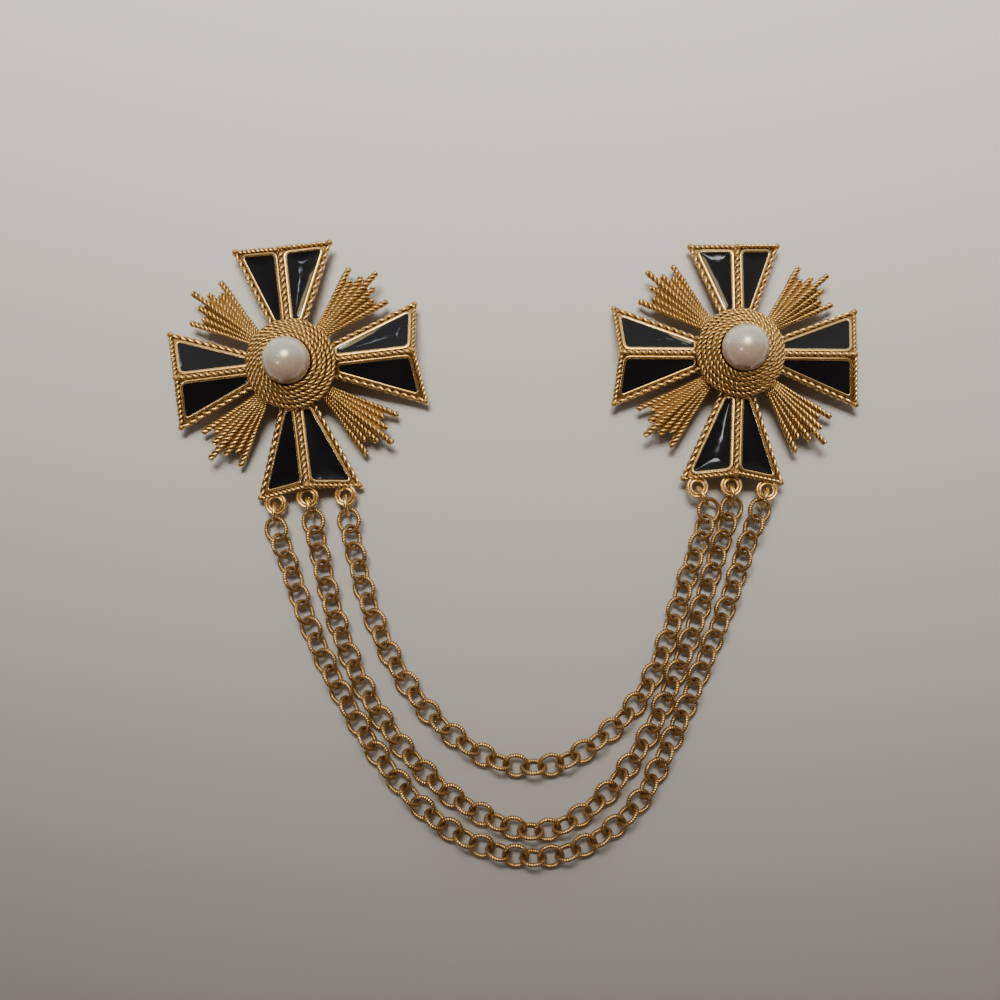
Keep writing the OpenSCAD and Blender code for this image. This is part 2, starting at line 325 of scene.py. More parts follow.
def runTree(piece, tree, values):
    # gives the piece the tree's result as a plain mesh, with no modifier left on it
    modifier = piece.modifiers.new(tree.name, "NODES")
    modifier.node_group = tree
    for socket in tree.interface.items_tree:
        if socket.in_out == "INPUT" and socket.name in values:
            modifier[socket.identifier] = values[socket.name]
    graph = bpy.context.evaluated_depsgraph_get()
    made = bpy.data.meshes.new_from_object(piece.evaluated_get(graph), depsgraph=graph)
    piece.modifiers.remove(modifier)
    old, piece.data = piece.data, made
    made.name = piece.name
    bpy.data.meshes.remove(old)


# A twisted rope along every edge path of the input: one lobed tube, turned as it goes.
# The path's own attribute "thick" is the rope's radius, and "wind" its turns so far;
# whole turns from the pitch are added, which a closed path uses alone.
ropeLook = {"strands": 2, "pointsPerStrand": 9, "pitch": 2.4, "step": 0.17, "strandShare": 0.62}
ropeCrest = (0.42, 0.94)  # how far out a rope is all groove and all crest, in rope radii


def makeRopeTree():
    tree, given = newTree("twistedRope", [
        ("Strands", "Int", ropeLook["strands"]),
        ("Points per strand", "Int", ropeLook["pointsPerStrand"]),
        ("Pitch", "Float", ropeLook["pitch"]), ("Step", "Float", ropeLook["step"]),
        ("Strand share", "Float", ropeLook["strandShare"]), ("Material", "Material", None)])
    count = calc(tree, "MULTIPLY", given["Strands"], given["Points per strand"])
    circle = put(tree, "GeometryNodeCurvePrimitiveCircle",
                 {"Resolution": count, "Radius": 1.0}).outputs[0]
    index = put(tree, "GeometryNodeInputIndex").outputs[0]
    around = calc(tree, "DIVIDE", calc(tree, "MULTIPLY", index, fullTurn), count)
    lobe = calc(tree, "DIVIDE", fullTurn, given["Strands"])
    off = calc(tree, "SUBTRACT", calc(tree, "FLOORED_MODULO", around, lobe),
               calc(tree, "DIVIDE", lobe, 2.0))
    share = given["Strand share"]
    middle = calc(tree, "SUBTRACT", 1.0, share)
    across = calc(tree, "MULTIPLY", middle, calc(tree, "SINE", off))
    reach = calc(tree, "ADD", calc(tree, "MULTIPLY", middle, calc(tree, "COSINE", off)),
                 calc(tree, "SQRT", calc(tree, "SUBTRACT", calc(tree, "MULTIPLY", share, share),
                                         calc(tree, "MULTIPLY", across, across))))
    point = put(tree, "ShaderNodeCombineXYZ", {
        "X": calc(tree, "MULTIPLY", reach, calc(tree, "COSINE", around)),
        "Y": calc(tree, "MULTIPLY", reach, calc(tree, "SINE", around))}).outputs[0]
    profile = put(tree, "GeometryNodeSetPosition",
                  {"Geometry": circle, "Position": point}).outputs[0]
    # the crest paints shade into the grooves between the strands
    profile = store(tree, profile, "crest", remap(tree, reach, *ropeCrest, 0.0, 1.0))

    path = put(tree, "GeometryNodeMeshToCurve", {"Mesh": given["Geometry"]}).outputs[0]
    path = put(tree, "GeometryNodeSetCurveNormal", {"Curve": path}, mode="Z_UP").outputs[0]
    path = put(tree, "GeometryNodeResampleCurve", {"Curve": path, "Length": given["Step"]},
               mode="LENGTH").outputs[0]
    length = put(tree, "GeometryNodeSplineLength").outputs["Length"]
    turns = calc(tree, "ROUND", calc(tree, "DIVIDE", length, given["Pitch"]))
    along = put(tree, "GeometryNodeSplineParameter").outputs["Factor"]
    wound = calc(tree, "ADD", calc(tree, "MULTIPLY", along, turns), attribute(tree, "wind"))
    tilt = calc(tree, "MULTIPLY", wound, fullTurn)
    twisted = put(tree, "GeometryNodeSetCurveTilt", {"Curve": path, "Tilt": tilt}).outputs[0]
    rope = put(tree, "GeometryNodeCurveToMesh", {
        "Curve": twisted, "Profile Curve": profile, "Scale": attribute(tree, "thick"),
        "Fill Caps": True}).outputs[0]
    endTree(tree, rope, given["Material"])
    return tree


# Round rings whose wire has a fine coiled groove, one on each point of the input. A grid is
# rolled up: its X goes round the ring, its Y round the wire.
# The point's own attribute "axis" is the line that the ring goes round.
chainLook = {"ringRadius": 2.27, "wireRadius": 0.465, "grooves": 31, "grooveDepth": 0.2,
             "wireSides": 9}
pointsPerGroove = 4.0
ringCrest = (-0.9, 0.5)  # the coil's cosine where a groove ends and where a crest begins


def makeRingTree():
    tree, given = newTree("groovedRings", [
        ("Ring radius", "Float", chainLook["ringRadius"]),
        ("Wire radius", "Float", chainLook["wireRadius"]),
        ("Grooves", "Int", chainLook["grooves"]),
        ("Groove depth", "Float", chainLook["grooveDepth"]),
        ("Wire sides", "Int", chainLook["wireSides"]), ("Material", "Material", None)])
    around = calc(tree, "ADD", calc(tree, "MULTIPLY", given["Grooves"], pointsPerGroove), 1.0)
    sheet = put(tree, "GeometryNodeMeshGrid", {
        "Size X": 1.0, "Size Y": 1.0, "Vertices X": around,
        "Vertices Y": calc(tree, "ADD", given["Wire sides"], 1.0)}).outputs["Mesh"]
    position = put(tree, "GeometryNodeInputPosition").outputs[0]
    where = put(tree, "ShaderNodeSeparateXYZ", {"Vector": position}).outputs
    a = calc(tree, "MULTIPLY", where["X"], fullTurn)
    b = calc(tree, "MULTIPLY", where["Y"], fullTurn)
    coil = calc(tree, "ADD", calc(tree, "MULTIPLY", a, given["Grooves"]), b)
    crest = remap(tree, calc(tree, "COSINE", coil), *ringCrest, 0.0, 1.0)
    # the crest also paints shade into the coil's grooves
    sheet = store(tree, sheet, "crest", crest)
    sunk = calc(tree, "MULTIPLY", given["Groove depth"],
                calc(tree, "SUBTRACT", 1.0, attribute(tree, "crest")))
    radius = calc(tree, "MULTIPLY", given["Wire radius"], calc(tree, "SUBTRACT", 1.0, sunk))
    reach = calc(tree, "ADD", given["Ring radius"],
                 calc(tree, "MULTIPLY", radius, calc(tree, "COSINE", b)))
    point = put(tree, "ShaderNodeCombineXYZ", {
        "X": calc(tree, "MULTIPLY", reach, calc(tree, "COSINE", a)),
        "Y": calc(tree, "MULTIPLY", reach, calc(tree, "SINE", a)),
        "Z": calc(tree, "MULTIPLY", radius, calc(tree, "SINE", b))}).outputs[0]
    rolled = put(tree, "GeometryNodeSetPosition",
                 {"Geometry": sheet, "Position": point}).outputs[0]
    solid = put(tree, "GeometryNodeMergeByDistance",
                {"Geometry": rolled, "Distance": mergeWithin}).outputs[0]
    turn = put(tree, "FunctionNodeAlignRotationToVector",
               {"Vector": attribute(tree, "axis", "FLOAT_VECTOR")}, axis="Z").outputs[0]
    rings = put(tree, "GeometryNodeInstanceOnPoints", {
        "Points": given["Geometry"], "Instance": solid, "Rotation": turn}).outputs[0]
    endTree(tree, rings, given["Material"])
    return tree


ropeTree = makeRopeTree()
ringTree = makeRingTree()
print("node trees made")


# Mesh helpers

def newPiece(name, mesh):
    piece = bpy.data.objects.new(name, mesh)
    scene.collection.objects.link(piece)
    return piece


unwound = 1000.0  # a pitch so long that only "wind" turns the rope


def pathMesh(name, paths):
    # paths are (points, thicknesses, turns so far, closed)
    verts, edges, thick, wind = [], [], [], []
    for points, widths, turns, closed in paths:
        first = len(verts)
        verts += [tuple(p) for p in points]
        thick += widths
        wind += turns
        edges += [(first + i, first + i + 1) for i in range(len(points) - 1)]
        if closed:
            edges.append((len(verts) - 1, first))
    mesh = bpy.data.meshes.new(name)
    mesh.from_pydata(verts, edges, [])
    mesh.attributes.new("thick", "FLOAT", "POINT").data.foreach_set("value", thick)
    mesh.attributes.new("wind", "FLOAT", "POINT").data.foreach_set("value", wind)
    return mesh


def makeRopes(name, paths, material, **changes):
    rope = {**ropeLook, **changes}
    piece = newPiece(name, pathMesh(name, paths))
    runTree(piece, ropeTree, {
        "Strands": rope["strands"], "Points per strand": rope["pointsPerStrand"],
        "Pitch": rope["pitch"], "Step": rope["step"], "Strand share": rope["strandShare"],
        "Material": material})
    return piece


def startForm():
    form = bmesh.new()
    form.verts.layers.float.new("crest")
    return form


def meshFrom(name, form, material):
    # the form becomes a piece, and its layer "crest" the mesh's attribute
    mesh = bpy.data.meshes.new(name)
    form.to_mesh(mesh)
    form.free()
    mesh.materials.append(material)
    return newPiece(name, mesh)


def mark(form, verts, value, smooth=True):
    # sets the crest of some verts and the shading of the faces round them
    layer = form.verts.layers.float["crest"]
    for vert in verts:
        vert[layer] = value
        for face in vert.link_faces:
            face.smooth = smooth


def addLoops(form, loops, crests, closed=True):
    # skins a row of point loops; closed joins the last loop to the first, and otherwise
    # both ends get a flat cap
    layer = form.verts.layers.float["crest"]
    rows = [[form.verts.new(p) for p in loop] for loop in loops]
    for row, crest in zip(rows, crests):
        for vert in row:
            vert[layer] = crest
    pairs = list(zip(rows, rows[1:])) + ([(rows[-1], rows[0])] if closed else [])
    faces = []
    for low, high in pairs:
        n = len(low)
        for i in range(n):
            j = (i + 1) % n
            faces.append(form.faces.new((low[i], low[j], high[j], high[i])))
    if not closed:
        faces.append(form.faces.new(rows[0][::-1]))
        faces.append(form.faces.new(rows[-1]))
    for face in faces:
        face.smooth = True
    return faces


def addRing(form, centre, reach, radius, crest, steps=48, wireSides=12, matrix=Matrix()):
    loops = []
    for i in range(steps):
        a = fullTurn * i / steps
        out = Vector((math.cos(a), math.sin(a), 0))
        loops.append([matrix @ (Vector(centre) + out * (reach + radius * math.cos(b))
                                + Vector((0, 0, radius * math.sin(b))))
                      for b in (fullTurn * k / wireSides for k in range(wireSides))])
    addLoops(form, loops, [crest] * steps)


def addBall(form, centre, radius, matrix=Matrix(), steps=16):
    made = bmesh.ops.create_uvsphere(form, u_segments=steps, v_segments=steps * 3 // 4,
                                     radius=radius, matrix=matrix @ Matrix.Translation(centre))
    mark(form, made["verts"], 1.0)
    return made["verts"]


def addBox(form, low, high, matrix, crest=0.6, bevel=0.1):
    size = Vector(high) - Vector(low)
    middle = (Vector(high) + Vector(low)) / 2
    made = bmesh.ops.create_cube(
        form, size=1, matrix=matrix @ Matrix.Translation(middle) @ Matrix.Diagonal((*size, 1)))
    edges = list({edge for vert in made["verts"] for edge in vert.link_edges})
    done = bmesh.ops.bevel(form, geom=edges, offset=bevel, segments=2, affect="EDGES",
                           profile=0.5)
    # the crest paints some shade on the box
    mark(form, done["verts"], crest, smooth=False)


def addLathe(form, outline, steps=64, matrix=Matrix()):
    # outline is (radius, height, crest) from the axis round to the axis again
    layer = form.verts.layers.float["crest"]
    rows = []
    for radius, height, crest in outline:
        around = steps if radius > 0 else 1
        row = []
        for i in range(around):
            a = fullTurn * i / around
            place = Vector((radius * math.cos(a), radius * math.sin(a), height))
            vert = form.verts.new(matrix @ place)
            vert[layer] = crest
            row.append(vert)
        rows.append(row)
    for low, high in zip(rows, rows[1:]):
        for i in range(steps):
            j = (i + 1) % steps
            corners = (low[i % len(low)], low[j % len(low)],
                       high[j % len(high)], high[i % len(high)])
            unique = list(dict.fromkeys(corners))
            if len(unique) > 2:
                form.faces.new(unique).smooth = True


def settle(piece, matrix):
    piece.data.transform(matrix)
    piece.data.update()


def finishPiece(piece, node):
    if node:
        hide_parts(node)
    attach(piece, "root")


# The cross

crossLook = {
    # an arm from above, in millimetres, and its roof's slope in degrees
    "armReach": 24.7, "notchReach": 23.5, "armHalf": 10.3, "armNeck": 3.85, "neckAt": 8.4,
    "armIn": 7.3, "ridgeZ": 6.6, "slope": 21.0,
    # the ropes along its edges and ridge
    "wireD": 1.15, "ropeR": 0.55, "endRopeR": 0.53, "ropeIn": 0.3,
    "sidePitch": 3.3, "ridgePitch": 2.5, "endPitch": 2.0, "uneven": 0.12, "unevenScale": 0.9,
    # the plate and the cell lips on it
    "plateLow": 1.0, "plateOver": 0.1, "plateBevel": 0.15, "plateRise": 0.12, "seat": -0.10,
    "lipW": 0.6, "lipReach": 0.74, "lipTop": 0.27, "lipFoot": -0.55, "lipStep": 0.8,
    "cellIn": 9.0, "cellRounding": (0.3, 0.8, 0.7, 0.4),
    # the knobs, the disc under the boss and the eyes
    "knobR": 0.7, "ridgeKnobR": 0.67, "knobSideHighlight": 0.95, "knobTopShade": 0.75,
    "discR": 8.2, "discLow": 5.0, "discTop": 6.0,
    "eyes": ((-6.9, -26.5, 3.4), (-0.4, -26.0, 4.4), (6.9, -26.5, 3.4)),
    "eyeRings": ((1.92, 0.95), (1.36, 0.85)),  # reach and crest
    "eyeWire": 0.32, "footLow": (-0.7, 1.7, -0.25), "footHigh": (0.7, 2.7, 1.35),
}
flare = ((crossLook["armHalf"] - crossLook["armNeck"])
         / (crossLook["armReach"] - crossLook["neckAt"]))
flareSec = math.hypot(1, flare)
notch = (crossLook["armReach"] - crossLook["notchReach"]) / crossLook["armHalf"]
notchSec = math.hypot(1, notch)
slopeRad = math.radians(crossLook["slope"])
wireHalf = crossLook["wireD"] / 2
border = crossLook["wireD"] + crossLook["lipW"]
rib = wireHalf + crossLook["lipW"]


# An arm seen from above: its side lies inset from the edge, and the arm is longer by added.
def halfAt(r, inset):
    return crossLook["armNeck"] + flare * (r - crossLook["neckAt"]) - inset * flareSec


def endAt(t, inset, added):
    return crossLook["notchReach"] + added - inset * notchSec + notch * t


def corner(sideInset, endInset, added):
    t = halfAt(endAt(0, endInset, added), sideInset) / (1 - flare * notch)
    return (endAt(t, endInset, added), t)


def wing(point, half):
    # from above to the sloping half of an arm
    return Vector((point[0], half * point[1] / math.cos(slopeRad), 0))


def roof(point, half):
    height = crossLook["ridgeZ"] - point[1] * math.tan(slopeRad)
    return Vector((point[0], half * point[1], height))


def slopeMatrix(side, arm, half):
    return (armTurn(side, arm) @ Matrix.Translation((0, 0, crossLook["ridgeZ"]))
            @ Matrix.Rotation(-half * slopeRad, 4, "X"))


def eased(points, reaches, steps=6):
    # the closed outline with each corner rounded off over its reach
    out = []
    for i, b in enumerate(points):
        a, c = points[i - 1], points[(i + 1) % len(points)]
        start = b + (a - b).normalized() * reaches[i]
        end = b + (c - b).normalized() * reaches[i]
        for k in range(steps + 1):
            t = k / steps
            out.append((1 - t) ** 2 * start + 2 * t * (1 - t) * b + t * t * end)
    return out


def spread(points, step):
    # the same closed outline with points no further apart than step
    out = []
    for a, b in zip(points, points[1:] + points[:1]):
        n = max(1, math.ceil((b - a).length / step))
        out += [a.lerp(b, k / n) for k in range(n)]
    return out


def cellOutline(half, inset, added):
    b, o = border + inset, rib + inset
    near = crossLook["cellIn"] + inset
    corners = ((near, o), (endAt(o, b, added), o), corner(b, b, added), (near, halfAt(near, b)))
    return eased([wing(p, half) for p in corners], crossLook["cellRounding"])


def outward(points):
    # unit vectors that point out of a flat closed outline
    area = sum(a.x * b.y - b.x * a.y for a, b in zip(points, points[1:] + points[:1]))
    sign = 1 if area > 0 else -1
    out = []
    for i in range(len(points)):
        d = points[(i + 1) % len(points)] - points[i - 1]
        out.append(Vector((d.y, -d.x, 0)).normalized() * sign)
    return out


def addLip(form, half, matrix, added):
    outline = spread(cellOutline(half, 0, added), crossLook["lipStep"])
    if half < 0:
        outline.reverse()
    w, top, foot = crossLook["lipReach"], crossLook["lipTop"], crossLook["lipFoot"]
    # across the lip from the cell outwards, up from the slope, and the crest there: the bright top
    # is partly a painted highlight, the foot painted shade
    section = ((0.0, foot, 0.1), (0.0, top - 0.2, 0.6), (0.07, top - 0.06, 1.0),
               (0.2, top, 1.0), (w - 0.2, top - 0.01, 1.0), (w - 0.08, top - 0.08, 0.8),
               (w, top - 0.28, 0.2), (w, foot, 0.0))
    loops = [[matrix @ (p + away * across + Vector((0, 0, up))) for across, up, crest in section]
             for p, away in zip(outline, outward(outline))]
    faces = addLoops(form, loops, [0] * len(loops))
    layer = form.verts.layers.float["crest"]
    inverse = matrix.inverted()
    for vert in {vert for face in faces for vert in face.verts}:
        height = (inverse @ vert.co).z
        vert[layer] = min(section, key=lambda part: abs(part[1] - height))[2]


def addPlate(form, half, matrix, added):
    inner, over = crossLook["armIn"], -crossLook["plateOver"]
    corners = ((inner, over), (endAt(0, wireHalf, added), over),
               corner(wireHalf, wireHalf, added), (inner, halfAt(inner, wireHalf)))
    outline = [wing(p, half) for p in corners]
    if half < 0:
        outline.reverse()
    middle = sum(outline, Vector()) / len(outline)
    low, top = -crossLook["plateLow"], crossLook["seat"]

    def level(height, inset):
        return [matrix @ (p + (middle - p).normalized() * inset + Vector((0, 0, height)))
                for p in outline]

    levels = [level(low, crossLook["plateBevel"]), level(low + crossLook["plateRise"], 0),
              level(top, 0)]
    # the plate's low crests paint shade on it between the ropes and the lips
    for face in addLoops(form, levels, [0.5, 0.5, 0.45], closed=False):
        face.smooth = False


def addKnob(form, centre, radius, matrix):
    # a rope's end: a painted highlight round its side and painted shade on top
    layer = form.verts.layers.float["crest"]
    middle = (matrix @ Vector(centre)).z
    for vert in addBall(form, centre, radius, matrix):
        up = max(0.0, (vert.co.z - middle) / radius)
        vert[layer] = crossLook["knobSideHighlight"] - crossLook["knobTopShade"] * up ** 3


def addEyes(form, matrix):
    for eye in crossLook["eyes"]:
        for reach, crest in crossLook["eyeRings"]:
            addRing(form, eye, reach, crossLook["eyeWire"], crest, matrix=matrix)
    middle = Vector(crossLook["eyes"][1])
    addBox(form, middle + Vector(crossLook["footLow"]), middle + Vector(crossLook["footHigh"]),
           matrix)


def straight(start, end, radius, pitch, parts=8):
    length = (end - start).length
    points = [start.lerp(end, k / parts) for k in range(parts + 1)]
    widths = [radius * (1 + crossLook["uneven"] * noiseAt(p * crossLook["unevenScale"]))
              for p in points]
    return (points, widths, [k / parts * length / pitch for k in range(parts + 1)], False)


def armRopes(added, turn):
    # the ropes along one arm's ridge, sides and end
    top = Vector((endAt(0, wireHalf, added), 0, crossLook["ridgeZ"]))
    inner = crossLook["armIn"] + crossLook["ropeIn"]
    ropes = [straight(turn @ Vector((inner, 0, crossLook["ridgeZ"])), turn @ top,
                      crossLook["ropeR"], crossLook["ridgePitch"])]
    for half in (1, -1):
        tip = roof(corner(wireHalf, wireHalf, added), half)
        foot = roof((inner, halfAt(inner, wireHalf)), half)
        ropes.append(straight(turn @ foot, turn @ tip, crossLook["ropeR"], crossLook["sidePitch"]))
        ropes.append(straight(turn @ top, turn @ tip, crossLook["endRopeR"],
                              crossLook["endPitch"]))
    return ropes


def discOutline(radius, low, top, under, bevel=0.1):
    # a flat disc for addLathe, with the crest under it; lower crests paint shade on its side and
    # top
    return ((0, low, under), (radius - bevel, low, under), (radius, low + bevel, 0.5),
            (radius, top - bevel, 0.3), (radius - bevel, top, 0.2), (0, top, 0.2))


def makeCross(side):
    form = startForm()
    ropes = []
    for arm, added in enumerate(crossPlaces[side]["added"]):
        turn = armTurn(side, arm)
        for half in (1, -1):
            addPlate(form, half, slopeMatrix(side, arm, half), added)
            addLip(form, half, slopeMatrix(side, arm, half), added)
            addKnob(form, roof(corner(wireHalf, wireHalf, added), half), crossLook["knobR"], turn)
        addKnob(form, (endAt(0, wireHalf, added), 0, crossLook["ridgeZ"]),
                crossLook["ridgeKnobR"], turn)
        ropes += armRopes(added, turn)
    addLathe(form, discOutline(crossLook["discR"], crossLook["discLow"], crossLook["discTop"], 0.4))
    eyeTurn = math.radians(crossPlaces[side]["armTurns"][lowerArm])
    addEyes(form, Matrix.Rotation(eyeTurn, 4, "Z"))
    casting = meshFrom(side + "_cross_casting", form, castGold)
    settle(casting, crossMatrix(side))
    finishPiece(casting, side + "_cross")
    twists = makeRopes(side + "_cross_ropes", ropes, castGold, pitch=unwound)
    settle(twists, crossMatrix(side))
    finishPiece(twists, None)


for side in sides:
    makeCross(side)
print("crosses made")


# Enamel fills: the outline of each cell, sagging a little to its middle

enamelLook = {
    "gap": 0.04, "edge": 0.14, "middle": 0.0, "bed": -0.41,
    "waves": 0.014, "waveScale": 0.55, "outlineStep": 0.5,
    "rings": 12, "inmost": 0.97, "crowding": 1.7,
    # where the cell's middle line starts and ends, in from its corners
    "lineIn": (1.2, 0.5), "lineOut": (-2.4, 3.7), "lineOutAt": 3.8,
}


def middleLine(half, added):
    along, across = enamelLook["lineIn"]
    inner = (crossLook["cellIn"] + along, rib + across)
    along, across = enamelLook["lineOut"]
    outer = (endAt(enamelLook["lineOutAt"], border, added) + along, across)
    return wing(inner, half), wing(outer, half)


def addEnamel(form, matrix, half, added):
    outline = spread(cellOutline(half, enamelLook["gap"], added), enamelLook["outlineStep"])
    if half < 0:
        outline.reverse()
    start, end = middleLine(half, added)
    line = end - start
    loops = [[matrix @ (p + Vector((0, 0, enamelLook["bed"]))) for p in outline]]
    for k in range(enamelLook["rings"] + 1):
        w = enamelLook["inmost"] * (k / enamelLook["rings"]) ** enamelLook["crowding"]
        climb = (1 - w) ** 2
        sag = enamelLook["middle"] + (enamelLook["edge"] - enamelLook["middle"]) * climb
        ring = []
        for p in outline:
            t = min(1, max(0, (p - start).dot(line) / line.length_squared))
            q = p.lerp(start + line * t, w)
            wave = noiseAt((matrix @ q) * enamelLook["waveScale"])
            height = sag + enamelLook["waves"] * (1 - climb) * wave
            ring.append(matrix @ (q + Vector((0, 0, height))))
        loops.append(ring)
    addLoops(form, loops, [1] * len(loops), closed=False)


def makeEnamels(side):
    for k in range(8):
        form = startForm()
        arm, half = k // 2, 1 if k % 2 == 0 else -1
        addEnamel(form, slopeMatrix(side, arm, half), half, crossPlaces[side]["added"][arm])
        bmesh.ops.recalc_face_normals(form, faces=form.faces)
        fill = meshFrom(f"{side}_enamel_fill_{k + 1}", form, blackEnamel)
        settle(fill, crossMatrix(side))
        finishPiece(fill, f"{side}_enamel_{k + 1}")


for side in sides:
    makeEnamels(side)
print("enamel made")


# Ray fans

rayLook = {
    # the rays of a fan: the middle one and three to each side, in millimetres and degrees
    "sideRays": 3, "step": 5.7, "lengths": (20.1, 17.6, 16.0, 18.4), "start": 4.0,
    "fold": 21.5, "fall": 7.5, "apex": (4.8, 0, 6.9), "fanTurns": (-2.9, 2.3, -3.5, 0.1),
    # a ray's radius grows by the taper for each millimetre outwards, and ends in a tip
    "taper": 0.047, "widest": 0.71, "narrowest": 0.44, "uneven": 0.16, "unevenScale": 0.9,
    "parts": 22, "tipStops": (0.6, 0.3, 0.1), "tipShares": (0.85, 0.55),
    "strands": 3, "strandShare": 0.49, "pointsPerStrand": 5, "pitchPerWidth": 2.2,
    # the web between the rays, and the middle ray's own web
    "webIn": 3.8, "webOut": 17.0, "webShort": 1.0, "middleShort": 3.2, "webOver": 0.12,
    "webLow": -0.3, "webTop": 0.12,
    # the disc under the fans, and each fan's bar and post on it
    "discR": 7.0, "discLow": 3.9, "discTop": 4.9,
    "barLow": (6, -1, 3.95), "barHigh": (9.6, 1, 4.85),
    "postAt": (9.3, 0, 0), "postR": 0.9, "postLow": 4.3, "postTop": 5.95,
}


def fanTurn(fan):
    return Matrix.Rotation(math.radians(45 + 90 * fan + rayLook["fanTurns"][fan]), 4, "Z")


def rayPath(length, matrix, seed):
    # a rope that grows from the boss outwards, with its twist growing as it does
    start, parts = rayLook["start"], rayLook["parts"]
    tip, *ends = rayLook["tipStops"]
    stops = [start + (length - tip - start) * k / parts for k in range(parts + 1)]
    stops += [*(length - end for end in ends), length]
    points = [matrix @ Vector((at, 0, 0)) for at in stops]
    bare = [min(max(rayLook["taper"] * at, rayLook["narrowest"]), rayLook["widest"])
            for at in stops]
    widths = [width * (1 + rayLook["uneven"] * noiseAt(p * rayLook["unevenScale"] + seed))
              for width, p in zip(bare, points)]
    widths[-2:] = [width * share for width, share in zip(widths[-2:], rayLook["tipShares"])]
    winds = [0.0]
    for i in range(1, len(stops)):
        pitch = rayLook["pitchPerWidth"] * (bare[i] + bare[i - 1])
        winds.append(winds[-1] + (stops[i] - stops[i - 1]) / pitch)
    return (points, widths, winds, False)


def spoke(reach, k, half):
    a = math.radians(rayLook["step"] * k)
    return Vector((reach * math.cos(a), half * reach * math.sin(a), 0))


def addWeb(form, half, matrix):
    lengths, inner, count = rayLook["lengths"], rayLook["webIn"], rayLook["sideRays"]
    over = -rayLook["webOver"] * half
    outline = [Vector((inner, over, 0)), Vector((lengths[0] - rayLook["middleShort"], over, 0))]
    outline += [spoke(min(lengths[k], rayLook["webOut"]) - rayLook["webShort"], k, half)
                for k in range(1, count + 1)]
    outline.append(spoke(inner, count, half))
    if half < 0:
        outline.reverse()
    levels = [[matrix @ (p + Vector((0, 0, height))) for p in outline]
              for height in (rayLook["webLow"], rayLook["webTop"])]
    # the web's low crests paint shade between the rays
    for face in addLoops(form, levels, [0.4, 0.35], closed=False):
        face.smooth = False


def addFanFoot(form, turn):
    addBox(form, rayLook["barLow"], rayLook["barHigh"], turn)
    radius, low, top = rayLook["postR"], rayLook["postLow"], rayLook["postTop"]
    # the post's low crests paint shade on it under the boss
    addLathe(form, ((0, low, 0.3), (radius, low, 0.3), (radius, top, 0.2), (0, top, 0.2)), 24,
             turn @ Matrix.Translation(rayLook["postAt"]))


def makeRays(side):
    form = startForm()
    paths = []
    seed = Vector((0, 0, 50 * sides.index(side)))  # so that the two sides' unevenness differs
    for fan in range(4):
        turn = fanTurn(fan)
        base = (turn @ Matrix.Translation(rayLook["apex"])
                @ Matrix.Rotation(math.radians(rayLook["fall"]), 4, "Y"))
        paths.append(rayPath(rayLook["lengths"][0], base, seed))
        for half in (1, -1):
            fold = base @ Matrix.Rotation(math.radians(-half * rayLook["fold"]), 4, "X")
            addWeb(form, half, fold)
            for k in range(1, rayLook["sideRays"] + 1):
                fanned = Matrix.Rotation(math.radians(half * rayLook["step"] * k), 4, "Z")
                paths.append(rayPath(rayLook["lengths"][k], fold @ fanned, seed))
        addFanFoot(form, turn)
    addLathe(form, discOutline(rayLook["discR"], rayLook["discLow"], rayLook["discTop"], 0.5))
    plate = meshFrom(side + "_ray_plate", form, rayGold)
    settle(plate, crossMatrix(side))
    finishPiece(plate, side + "_rays")
    rods = makeRopes(side + "_ray_ropes", paths, rayGold, strands=rayLook["strands"],
                     pointsPerStrand=rayLook["pointsPerStrand"], pitch=unwound,
                     strandShare=rayLook["strandShare"])
    settle(rods, crossMatrix(side))
    finishPiece(rods, None)


for side in sides:
    makeRays(side)
print("ray fans made")


# Boss and pearl

bossLook = {
    # the rope rings, from the lowest and widest up to the one round the pearl
    "rings": 5, "reach": 8.27, "inner": 5.0, "wireD": 1.16, "low": 7.9, "rise": 0.795,
    "pointsPerRing": 72, "strands": 3, "pointsPerStrand": 6, "pitch": 3.1, "strandShare": 0.49,
    "uneven": 0.13, "unevenScale": 0.55,
    # the cone under them: its foot, its shoulder, and its cup from the highest ring down
    "foot": 6.1, "footR": 6.9, "footBevel": 0.1, "waist": 7.35, "shoulder": 7.5,
    "cup": ((4.5, 0.5), (3.9, 1.55), (2.8, 2.6), (1.4, 3.3), (0, 3.5)),
}
pearlLook = {"pearlD": 9.1, "gap": 0.04, "pinkBelow": -0.05, "pinkSoft": 0.35, "steps": 64}


def ringPlace(k):
    share = k / (bossLook["rings"] - 1)
    reach = bossLook["reach"] + (bossLook["inner"] - bossLook["reach"]) * share
    return reach, bossLook["low"] + bossLook["rise"] * k


def coneOutline():
    lastR, lastZ = ringPlace(bossLook["rings"] - 1)
    foot, footR, bevel = bossLook["foot"], bossLook["footR"], bossLook["footBevel"]
    # its crests paint shade on the cone, darkest under the rope rings
    return [(0, foot, 0.4), (footR - bevel, foot, 0.4), (footR, foot + bevel, 0.4),
            (footR, bossLook["waist"], 0.2), (bossLook["reach"], bossLook["shoulder"], 0.2),
            (bossLook["reach"], bossLook["low"], 0.0), (lastR, lastZ, 0.0),
            *((radius, lastZ - depth, 0.1) for radius, depth in bossLook["cup"])]


def ringPath(k):
    reach, height = ringPlace(k)
    n, uneven = bossLook["pointsPerRing"], bossLook["uneven"]
    points, widths = [], []
    for a in (fullTurn * i / n + k for i in range(n)):
        place = Vector((reach * math.cos(a), reach * math.sin(a), 7 * k))
        stray = uneven * noiseAt(place * bossLook["unevenScale"])
        r = reach + stray
        points.append(Vector((r * math.cos(a), r * math.sin(a), height - stray)))
        widths.append(bossLook["wireD"] / 2 * (1 + 1.5 * stray))
    return (points, widths, [0.0] * n, True)


